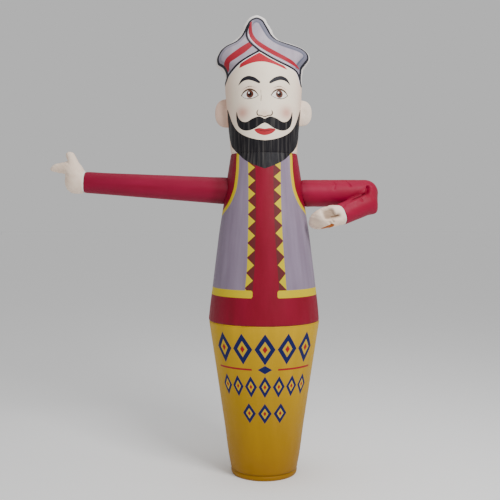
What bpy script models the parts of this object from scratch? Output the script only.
"""Inflatable air dancer: a hollow cloth figure, three metres tall, filled by a blower below."""

import math

import bmesh
import bpy
import numpy as np
from mathutils import Matrix, Vector
from mathutils.geometry import delaunay_2d_cdt

# Driving dimensions in metres, from the body's axis on the surface it stands on.
HEIGHT = 3.05
WALL = 0.0025
GAP = 0.0003
SEGMENTS = 48

# Base: a tapered yellow skirt that widens from the hem to the hip seam.
HEM_RADIUS = 0.215
HEM_HEIGHT = 0.030
HEM_WIDTH = 0.010
HIP_HEIGHT = 1.015
HIP_RADIUS = 0.368

# Torso: a red cone from the hip seam to the neck seam.
NECK_HEIGHT = 2.117
NECK_RADIUS = 0.2205

# Arms: tapered round sleeves sewn into the torso's armholes.
SHOULDER_HEIGHT = 1.872
LEFT_SHOULDER_RADIUS = 0.0855
LEFT_CUFF_RADIUS = 0.0695
LEFT_CUFF = Vector((-1.197, 0.0, 1.931))
FINGERTIP_REACH = 1.4365
RIGHT_SHOULDER_HEIGHT = 1.859
RIGHT_ARM_RADIUS = 0.088
ELBOW_TOP = Vector((0.674, 0.0, 1.859))
ELBOW_LOW = Vector((0.688, -0.042, 1.792))
ELBOW_LOW_RADIUS = 0.074
RIGHT_CUFF = Vector((0.512, -0.140, 1.716))
RIGHT_CUFF_RADIUS = 0.0700
ELBOW_REACH = ELBOW_TOP.x + RIGHT_ARM_RADIUS

# Ears: small stuffed pads sewn to the sides of the head.
EAR_CENTRE = Vector((0.244, 0.010, 2.395))
EAR_HALF_SIZE = Vector((0.084, 0.040, 0.096))

# The body's axis stands off centre, because the left arm reaches further than the right elbow.
BODY_X = (FINGERTIP_REACH - ELBOW_REACH) / 2

# Flat cut of the hands: the outline's spacing, and how far the inner skin stays from the seam.
PILLOW_STEP = 0.0145
PILLOW_SEAM = 0.005

# Sections of the torso, each a height and a radius.
TORSO_RINGS = [
    {"z": HIP_HEIGHT + GAP, "radius": HIP_RADIUS},
    {"z": 1.115, "radius": 0.3585},
    {"z": 1.229, "radius": 0.344},
    {"z": 1.420, "radius": 0.3215},
    {"z": 1.611, "radius": 0.2975},
    {"z": 1.732, "radius": 0.2780},
    {"z": 1.850, "radius": 0.2610},
    {"z": 1.966, "radius": 0.2455},
    {"z": 2.050, "radius": 0.2310},
    {"z": NECK_HEIGHT, "radius": NECK_RADIUS},
]

# Sections of the head: how far the seam reaches left and right, half the depth, and how
# sharp the side seam is (0.5 is a round section, 1 is a lens).
HEAD_RINGS = [
    {"z": NECK_HEIGHT + GAP, "left": 0.2205, "right": 0.2205, "depth": 0.2205, "edge": 0.50},
    {"z": 2.200, "left": 0.2290, "right": 0.2270, "depth": 0.2290, "edge": 0.50},
    {"z": 2.300, "left": 0.2390, "right": 0.2350, "depth": 0.2380, "edge": 0.50},
    {"z": 2.400, "left": 0.2490, "right": 0.2440, "depth": 0.2470, "edge": 0.50},
    {"z": 2.500, "left": 0.2570, "right": 0.2500, "depth": 0.2520, "edge": 0.50},
    {"z": 2.580, "left": 0.2620, "right": 0.2530, "depth": 0.2510, "edge": 0.51},
    {"z": 2.650, "left": 0.2640, "right": 0.2550, "depth": 0.2440, "edge": 0.53},
    {"z": 2.676, "left": 0.2780, "right": 0.2590, "depth": 0.2390, "edge": 0.56},
    {"z": 2.700, "left": 0.3080, "right": 0.2760, "depth": 0.2320, "edge": 0.60},
    {"z": 2.730, "left": 0.3210, "right": 0.2980, "depth": 0.2210, "edge": 0.62},
    {"z": 2.760, "left": 0.3205, "right": 0.3050, "depth": 0.2080, "edge": 0.63},
    {"z": 2.790, "left": 0.3090, "right": 0.2960, "depth": 0.1920, "edge": 0.64},
    {"z": 2.820, "left": 0.2880, "right": 0.2640, "depth": 0.1730, "edge": 0.65},
    {"z": 2.845, "left": 0.2580, "right": 0.2060, "depth": 0.1530, "edge": 0.66},
    {"z": 2.870, "left": 0.2080, "right": 0.1260, "depth": 0.1300, "edge": 0.66},
    {"z": 2.905, "left": 0.1730, "right": 0.0780, "depth": 0.1050, "edge": 0.66},
    {"z": 2.948, "left": 0.1490, "right": 0.0500, "depth": 0.0800, "edge": 0.66},
    {"z": 2.990, "left": 0.1290, "right": 0.0270, "depth": 0.0560, "edge": 0.66},
    {"z": 3.022, "left": 0.1100, "right": 0.0090, "depth": 0.0350, "edge": 0.66},
    {"z": 3.040, "left": 0.0860, "right": -0.0150, "depth": 0.0190, "edge": 0.60},
    {"z": HEIGHT, "left": 0.0590, "right": -0.0400, "depth": 0.0070, "edge": 0.50},
]
HEAD_INSIDE_TOP = 3.030

# Outline of the pointing hand from its cuff: along the arm, and up from the arm's axis.
LEFT_HAND_OUTLINE = [
    {"along": 0.036, "up": 0.094},
    {"along": 0.060, "up": 0.138},
    {"along": 0.080, "up": 0.176},
    {"along": 0.098, "up": 0.196},
    {"along": 0.116, "up": 0.190},
    {"along": 0.128, "up": 0.166},
    {"along": 0.126, "up": 0.140},
    {"along": 0.130, "up": 0.124},
    {"along": 0.150, "up": 0.118},
    {"along": 0.186, "up": 0.111},
    {"along": 0.222, "up": 0.086},
    {"along": 0.238, "up": 0.066},
    {"along": 0.226, "up": 0.052},
    {"along": 0.180, "up": 0.047},
    {"along": 0.144, "up": 0.040},
    {"along": 0.140, "up": 0.012},
    {"along": 0.146, "up": -0.018},
    {"along": 0.136, "up": -0.054},
    {"along": 0.112, "up": -0.078},
    {"along": 0.078, "up": -0.088},
    {"along": 0.036, "up": -0.080},
]

# Outline of the mitten on the bent arm, in the same way.
RIGHT_HAND_OUTLINE = [
    {"along": 0.030, "up": 0.078},
    {"along": 0.062, "up": 0.080},
    {"along": 0.100, "up": 0.072},
    {"along": 0.140, "up": 0.060},
    {"along": 0.180, "up": 0.042},
    {"along": 0.212, "up": 0.018},
    {"along": 0.224, "up": -0.012},
    {"along": 0.212, "up": -0.042},
    {"along": 0.176, "up": -0.060},
    {"along": 0.130, "up": -0.070},
    {"along": 0.084, "up": -0.076},
    {"along": 0.036, "up": -0.076},
]
# The mitten curls back towards the body and slightly up, by these amounts at its tip.
RIGHT_HAND_CURL = -0.080
RIGHT_HAND_LIFT = 0.012

# Colours (linear) and roughness of the coated nylon.
YELLOW = {"colour": (0.68, 0.42, 0.02, 1), "roughness": 0.55}
RED = {"colour": (0.45, 0.015, 0.045, 1), "roughness": 0.55}
CREAM = {"colour": (0.76, 0.66, 0.56, 1), "roughness": 0.60}
PINK_CREAM = {"colour": (0.72, 0.52, 0.47, 1), "roughness": 0.60}


def clear_scene():
    """Removes every object, so that only the figure is built."""
    for old in list(bpy.data.objects):
        bpy.data.objects.remove(old)


def cloth_material(name, finish):
    """A plain Principled material for one piece of cloth."""
    material = bpy.data.materials.new(name)
    material.use_nodes = True
    shader = material.node_tree.nodes["Principled BSDF"]
    shader.inputs["Base Color"].default_value = finish["colour"]
    shader.inputs["Roughness"].default_value = finish["roughness"]
    shader.inputs["Metallic"].default_value = 0.0
    return material


def make_object(name, bm, finish, root):
    """Puts a bmesh into a named object under the root, smooth but for its seams."""
    bmesh.ops.recalc_face_normals(bm, faces=bm.faces)
    mesh = bpy.data.meshes.new(name)
    bm.to_mesh(mesh)
    bm.free()
    piece = bpy.data.objects.new(name, mesh)
    bpy.context.collection.objects.link(piece)
    piece.parent = root
    mesh.shade_smooth()
    mesh.set_sharp_from_angle(angle=math.radians(40))
    if finish:
        mesh.materials.append(cloth_material(name + "_cloth", finish))
    return piece


def make_cutter(name, bm, root):
    """A wire shape that only cuts its neighbours."""
    cutter = make_object(name, bm, None, root)
    cutter.display_type = "WIRE"
    cutter.hide_render = True
    return cutter


def boolean(piece, other, operation):
    """Cuts or joins a piece with another one."""
    step = piece.modifiers.new(operation.lower() + "_" + other.name, "BOOLEAN")
    step.operation = operation
    step.object = other


def stitch_rings(bm, loops, closed_loop=False):
    """Joins rings of vertices, one after another, with quads."""
    pairs = list(zip(loops, loops[1:]))
    if closed_loop:
        pairs.append((loops[-1], loops[0]))
    for lower, upper in pairs:
        for i in range(len(lower)):
            j = (i + 1) % len(lower)
            bm.faces.new((lower[i], lower[j], upper[j], upper[i]))


def circle(radius, z):
    """Points of a level circle round the body's axis."""
    turns = [2 * math.pi * i / SEGMENTS for i in range(SEGMENTS)]
    return [Vector((radius * math.cos(t), radius * math.sin(t), z)) for t in turns]


def turned_shell(rings):
    """A ring-shaped wall turned round the body's axis from a closed profile."""
    bm = bmesh.new()
    loops = [[bm.verts.new(p) for p in circle(r["radius"], r["z"])] for r in rings]
    stitch_rings(bm, loops, closed_loop=True)
    return bm


def turned_solid(rings):
    """A filled shape turned round the body's axis."""
    bm = bmesh.new()
    loops = [[bm.verts.new(p) for p in circle(r["radius"], r["z"])] for r in rings]
    stitch_rings(bm, loops)
    bm.faces.new(loops[0])
    bm.faces.new(loops[-1])
    return bm


def torso_filled():
    """The torso's outside, a gap larger, which trims the sleeves."""
    return turned_solid([{"z": r["z"], "radius": r["radius"] + GAP} for r in TORSO_RINGS])


def head_section(ring, inset=0.0, inset_depth=0.0):
    """Points of one level section of the head, from its left and right seams and its depth."""
    left = -(ring["left"] - inset)
    right = ring["right"] - inset
    depth = ring["depth"] - inset_depth
    points = []
    for i in range(SEGMENTS):
        t = 2 * math.pi * i / SEGMENTS
        across = (left + right) / 2 + (right - left) / 2 * math.cos(t)
        bulge = abs(math.sin(t)) ** (2 * ring["edge"])
        points.append(Vector((across, math.copysign(depth * bulge, math.sin(t)), ring["z"])))
    return points


def head_shell():
    """The head and its headdress, one bag open at the neck."""
    bm = bmesh.new()
    outside = [[bm.verts.new(p) for p in head_section(r)] for r in HEAD_RINGS]
    kept = [r for r in HEAD_RINGS if r["z"] < HEAD_INSIDE_TOP]
    inside = [
        [bm.verts.new(p) for p in head_section(r, inset=2 * WALL, inset_depth=WALL)]
        for r in kept
    ]
    # At the neck the wall is as thin as elsewhere.
    for vertex, point in zip(inside[0], head_section(kept[0], WALL, WALL)):
        vertex.co = point
    stitch_rings(bm, inside[::-1] + outside)
    bm.faces.new(inside[-1])
    bm.faces.new(outside[-1])
    return bm


def head_filled():
    """The head's outside, a gap larger, which trims the ears."""
    bm = bmesh.new()
    rings = [r for r in HEAD_RINGS if r["z"] < 2.70]
    loops = [[bm.verts.new(p) for p in head_section(r, -GAP, -GAP)] for r in rings]
    stitch_rings(bm, loops)
    bm.faces.new(loops[0])
    bm.faces.new(loops[-1])
    return bm


def frame_along(direction):
    """A turn whose X runs along the direction, Y to the side and Z as far up as it can."""
    along = direction.normalized()
    up = (Vector((0, 0, 1)) - along * along.z).normalized()
    side = up.cross(along)
    return Matrix((along, side, up)).transposed()


def tube(start, end, start_radius, end_radius):
    """A filled tapered tube with flat ends."""
    bm = bmesh.new()
    turn = frame_along(end - start)
    loops = []
    for centre, radius in ((start, start_radius), (end, end_radius)):
        loop = []
        for i in range(SEGMENTS // 2):
            t = 4 * math.pi * i / SEGMENTS
            offset = Vector((0, radius * math.cos(t), radius * math.sin(t)))
            loop.append(bm.verts.new(centre + turn @ offset))
        loops.append(loop)
    stitch_rings(bm, loops)
    bm.faces.new(loops[0])
    bm.faces.new(loops[-1])
    return bm


def ball(centre, radius, half_size=None):
    """A ball, or an egg of three half sizes."""
    bm = bmesh.new()
    bmesh.ops.create_uvsphere(bm, u_segments=SEGMENTS // 2, v_segments=SEGMENTS // 4, radius=1)
    size = half_size or Vector((radius, radius, radius))
    bmesh.ops.scale(bm, vec=size, verts=bm.verts)
    bmesh.ops.translate(bm, vec=centre, verts=bm.verts)
    return bm


def smooth_outline(table, mouth_radius):
    """A closed outline through the table's points, from the cuff's top to its bottom."""
    knots = [Vector((0, mouth_radius))]
    knots += [Vector((p["along"], p["up"])) for p in table]
    knots.append(Vector((0, -mouth_radius)))
    ends = [2 * knots[0] - knots[1]] + knots + [2 * knots[-1] - knots[-2]]
    curve = []
    for a, b, c, d in zip(ends, ends[1:], ends[2:], ends[3:]):
        for k in range(8):
            t = k / 8
            curve.append(
                0.5 * (2 * b + (c - a) * t + (2 * a - 5 * b + 4 * c - d) * t**2
                       + (3 * b - a - 3 * c + d) * t**3)
            )
    curve.append(knots[-1])
    return even_steps(curve, PILLOW_STEP)


def even_steps(line, step):
    """The same line with its points at even distances."""
    lengths = [0.0]
    for p, q in zip(line, line[1:]):
        lengths.append(lengths[-1] + (q - p).length)
    count = max(2, round(lengths[-1] / step))
    wanted = np.linspace(0, lengths[-1], count + 1)
    xs = np.interp(wanted, lengths, [p.x for p in line])
    ys = np.interp(wanted, lengths, [p.y for p in line])
    return [Vector((x, y)) for x, y in zip(xs, ys)]


def inside_outline(point, outline):
    """Whether a flat point lies inside a closed outline."""
    found = False
    for p, q in zip(outline, outline[1:] + outline[:1]):
        if (p.y > point.y) != (q.y > point.y):
            cross = p.x + (point.y - p.y) * (q.x - p.x) / (q.y - p.y)
            found = found != (point.x < cross)
    return found


def flat_grid(outline):
    """Staggered points inside the outline, clear of its edge."""
    rows = math.sqrt(0.75) * PILLOW_STEP
    edge = np.array([tuple(p) for p in outline])
    found = []
    high = max(p.y for p in outline)
    low = min(p.y for p in outline)
    reach = max(p.x for p in outline)
    for row in range(int((high - low) / rows) + 1):
        for column in range(int(reach / PILLOW_STEP) + 1):
            x = (column + 0.5 * (row % 2)) * PILLOW_STEP
            point = Vector((x, low + row * rows))
            near = np.hypot(edge[:, 0] - point.x, edge[:, 1] - point.y).min()
            if near > 0.62 * PILLOW_STEP and inside_outline(point, outline):
                found.append(point)
    return found


def swell(points, faces, fixed):
    """Half the thickness at each flat point when two panels are sewn at the edge and filled.

    The square of the half thickness has an even curvature over the panel, which turns a
    straight strip into a round tube. fixed holds the known squares at the edge.
    """
    size = len(points)
    weights = np.zeros((size, size))
    areas = np.zeros(size)
    for face in faces:
        for k in range(3):
            a, b, c = (face[(k + n) % 3] for n in range(3))
            to_a = points[a] - points[c]
            to_b = points[b] - points[c]
            area = abs(to_a.cross(to_b)) / 2
            weight = to_a.dot(to_b) / (4 * area)
            weights[a, b] += weight
            weights[b, a] += weight
            areas[a] += area / 3
    laplace = np.diag(weights.sum(axis=1)) - weights
    known = np.array(sorted(fixed))
    free = np.array([i for i in range(size) if i not in fixed])
    squares = np.zeros(size)
    squares[known] = [fixed[i] for i in known]
    pull = 2 * areas[free] - laplace[np.ix_(free, known)] @ squares[known]
    squares[free] = np.linalg.solve(laplace[np.ix_(free, free)], pull)
    return np.sqrt(np.maximum(squares, 0))


def hand_shell(table, mouth_radius, place):
    """A hand of two panels sewn at their outline and blown up, open at the cuff."""
    seam = smooth_outline(table, mouth_radius)
    mouth = even_steps([seam[-1], seam[0]], PILLOW_STEP)[1:-1]
    edge = seam + mouth
    grid = flat_grid(edge)
    loop = list(range(len(edge)))
    ring = [(i, (i + 1) % len(edge)) for i in loop]
    flat, _, faces, *_ = delaunay_2d_cdt(edge + grid, ring, [], 1, 1e-6)
    points = [Vector(p) for p in flat]
    fixed = {i: 0.0 for i in range(len(seam))}
    for i in range(len(seam), len(edge)):
        fixed[i] = mouth_radius**2 - points[i].y ** 2
    half = swell(points, faces, fixed)

    bm = bmesh.new()
    skins = {}
    for skin in ("outer", "inner"):
        shift = inward_shift(points, seam) if skin == "inner" else {}
        thin = WALL if skin == "inner" else 0.0
        for sign in (-1, 1):
            made = []
            for i, p in enumerate(points):
                on_seam = i < len(seam)
                if on_seam and sign == 1:
                    made.append(skins[skin, -1][i])
                    continue
                q = p + shift.get(i, Vector((0, 0)))
                depth = 0.0 if on_seam else max(half[i] - thin, 0.0)
                made.append(bm.verts.new(place(q.x, sign * depth, q.y)))
            skins[skin, sign] = made
    for key, made in skins.items():
        for face in faces:
            bm.faces.new([made[i] for i in face])
    # The rim at the cuff joins the outer and the inner skin.
    rim = [len(seam) - 1] + list(range(len(seam), len(edge))) + [0]
    for sign in (-1, 1):
        outer = skins["outer", sign]
        inner = skins["inner", sign]
        for i, j in zip(rim, rim[1:]):
            bm.faces.new((outer[i], outer[j], inner[j], inner[i]))
    return bm


def inward_shift(points, seam):
    """How far each seam point of the inner skin moves in from the outline."""
    shift = {}
    last = len(seam) - 1
    for i in range(len(seam)):
        before = points[max(i - 1, 0)]
        after = points[min(i + 1, last)]
        along = (after - before).normalized()
        shift[i] = Vector((along.y, -along.x)) * PILLOW_SEAM
    shift[0] = Vector((0, -WALL))
    shift[last] = Vector((0, WALL))
    return shift


def build_base(root):
    """The yellow skirt with its thick hem, a flat ring underneath."""
    hem_top = {"z": HEM_HEIGHT, "radius": HEM_RADIUS + 0.0045}
    rings = [
        {"z": 0.0, "radius": HEM_RADIUS - HEM_WIDTH},
        {"z": 0.0, "radius": HEM_RADIUS - 0.001},
        {"z": 0.012, "radius": HEM_RADIUS + 0.0045},
        {"z": 0.024, "radius": HEM_RADIUS + 0.0060},
        hem_top,
        {"z": 0.330, "radius": HEM_RADIUS + 0.0045 + 0.1495 * (0.330 - HEM_HEIGHT)},
        {"z": 0.660, "radius": HEM_RADIUS + 0.0045 + 0.1500 * (0.660 - HEM_HEIGHT)},
        {"z": HIP_HEIGHT, "radius": HIP_RADIUS},
    ]
    inside = [{"z": r["z"], "radius": r["radius"] - WALL} for r in rings[:3:-1]]
    hem_inside = {"z": HEM_HEIGHT - 0.004, "radius": HEM_RADIUS - HEM_WIDTH + 0.003}
    return make_object("base", turned_shell(rings + inside + [hem_inside]), YELLOW, root)


def build_torso(root):
    """The red body with a round armhole on each side."""
    inside = [{"z": r["z"], "radius": r["radius"] - WALL} for r in reversed(TORSO_RINGS)]
    return make_object("torso", turned_shell(TORSO_RINGS + inside), RED, root)


def build_ear(name, side, head_outside, root):
    """A stuffed pad whose inner side follows the head."""
    centre = Vector((side * EAR_CENTRE.x, EAR_CENTRE.y, EAR_CENTRE.z))
    ear = make_object(name, ball(centre, 1, EAR_HALF_SIZE), PINK_CREAM, root)
    boolean(ear, head_outside, "DIFFERENCE")
    return ear


def build_left_arm(torso, torso_outside, root):
    """The straight sleeve and the armhole that it opens into."""
    start = Vector((-0.12, 0, SHOULDER_HEIGHT))
    growth = (LEFT_SHOULDER_RADIUS - LEFT_CUFF_RADIUS) / 0.95
    start_radius = LEFT_SHOULDER_RADIUS + growth * 0.12
    arm = make_object("arm_left", tube(start, LEFT_CUFF, start_radius, LEFT_CUFF_RADIUS), RED, root)
    beyond = (LEFT_CUFF - start).normalized() * 0.02
    bore = make_cutter(
        "left_bore",
        tube(start - beyond, LEFT_CUFF + beyond, start_radius - WALL, LEFT_CUFF_RADIUS - WALL),
        root,
    )
    boolean(arm, bore, "DIFFERENCE")
    boolean(arm, torso_outside, "DIFFERENCE")
    boolean(torso, bore, "DIFFERENCE")
    return arm


def bent_sleeve(name, thin, overrun, root):
    """A filled bent sleeve: upper arm, elbow and forearm joined."""
    start = Vector((0.12, 0, RIGHT_SHOULDER_HEIGHT))
    forearm_end = RIGHT_CUFF + (RIGHT_CUFF - ELBOW_LOW).normalized() * overrun
    shapes = [
        tube(start, ELBOW_TOP, RIGHT_ARM_RADIUS - thin, RIGHT_ARM_RADIUS - thin),
        ball(ELBOW_TOP, RIGHT_ARM_RADIUS - thin - 0.0004),
        tube(ELBOW_TOP, ELBOW_LOW, RIGHT_ARM_RADIUS - thin - 0.001, ELBOW_LOW_RADIUS - thin - 0.001),
        ball(ELBOW_LOW, ELBOW_LOW_RADIUS - thin),
        tube(ELBOW_LOW, forearm_end, ELBOW_LOW_RADIUS - thin, RIGHT_CUFF_RADIUS - thin),
    ]
    sleeve = make_object(name, shapes[0], RED, root)
    for i, shape in enumerate(shapes[1:]):
        joined = make_cutter(name + "_piece_" + str(i), shape, root)
        boolean(sleeve, joined, "UNION")
    return sleeve


def build_right_arm(torso, torso_outside, root):
    """The sleeve that bends at the elbow and comes forward, down and back to the body."""
    arm = bent_sleeve("arm_right", 0.0, 0.0, root)
    bore = bent_sleeve("right_bore", WALL, 0.02, root)
    bore.display_type = "WIRE"
    bore.hide_render = True
    boolean(arm, bore, "DIFFERENCE")
    boolean(arm, torso_outside, "DIFFERENCE")
    boolean(torso, bore, "DIFFERENCE")
    return arm


def build_left_hand(root):
    """The pointing hand, thumb up."""
    start = Vector((-0.12, 0, SHOULDER_HEIGHT))
    direction = (LEFT_CUFF - start).normalized()
    up = (Vector((0, 0, 1)) - direction * direction.z).normalized()
    origin = LEFT_CUFF + direction * GAP

    def place(along, depth, high):
        return origin + direction * along + Vector((0, depth, 0)) + up * high

    return make_object(
        "hand_left", hand_shell(LEFT_HAND_OUTLINE, LEFT_CUFF_RADIUS, place), CREAM, root
    )


def build_right_hand(root):
    """The mitten that rests in front of the body, curled towards it."""
    direction = (RIGHT_CUFF - ELBOW_LOW).normalized()
    up = (Vector((0, 0, 1)) - direction * direction.z).normalized()
    back = direction.cross(up)
    if back.y < 0:
        back = -back
    origin = RIGHT_CUFF + direction * GAP
    reach = max(p["along"] for p in RIGHT_HAND_OUTLINE)

    def place(along, depth, high):
        curl = (along / reach) ** 2
        away = depth - RIGHT_HAND_CURL * curl
        return origin + direction * along + back * away + up * (high + RIGHT_HAND_LIFT * curl)

    return make_object(
        "hand_right", hand_shell(RIGHT_HAND_OUTLINE, RIGHT_CUFF_RADIUS, place), CREAM, root
    )


def build_dancer():
    """All the pieces, under one empty that sets the figure over its middle."""
    clear_scene()
    root = bpy.data.objects.new("dancer", None)
    bpy.context.collection.objects.link(root)
    root.location = (BODY_X, 0, 0)
    torso_outside = make_cutter("torso_outside", torso_filled(), root)
    head_outside = make_cutter("head_outside", head_filled(), root)
    build_base(root)
    torso = build_torso(root)
    make_object("head", head_shell(), CREAM, root)
    build_ear("ear_left", -1, head_outside, root)
    build_ear("ear_right", 1, head_outside, root)
    build_left_arm(torso, torso_outside, root)
    build_right_arm(torso, torso_outside, root)
    build_left_hand(root)
    build_right_hand(root)


build_dancer()
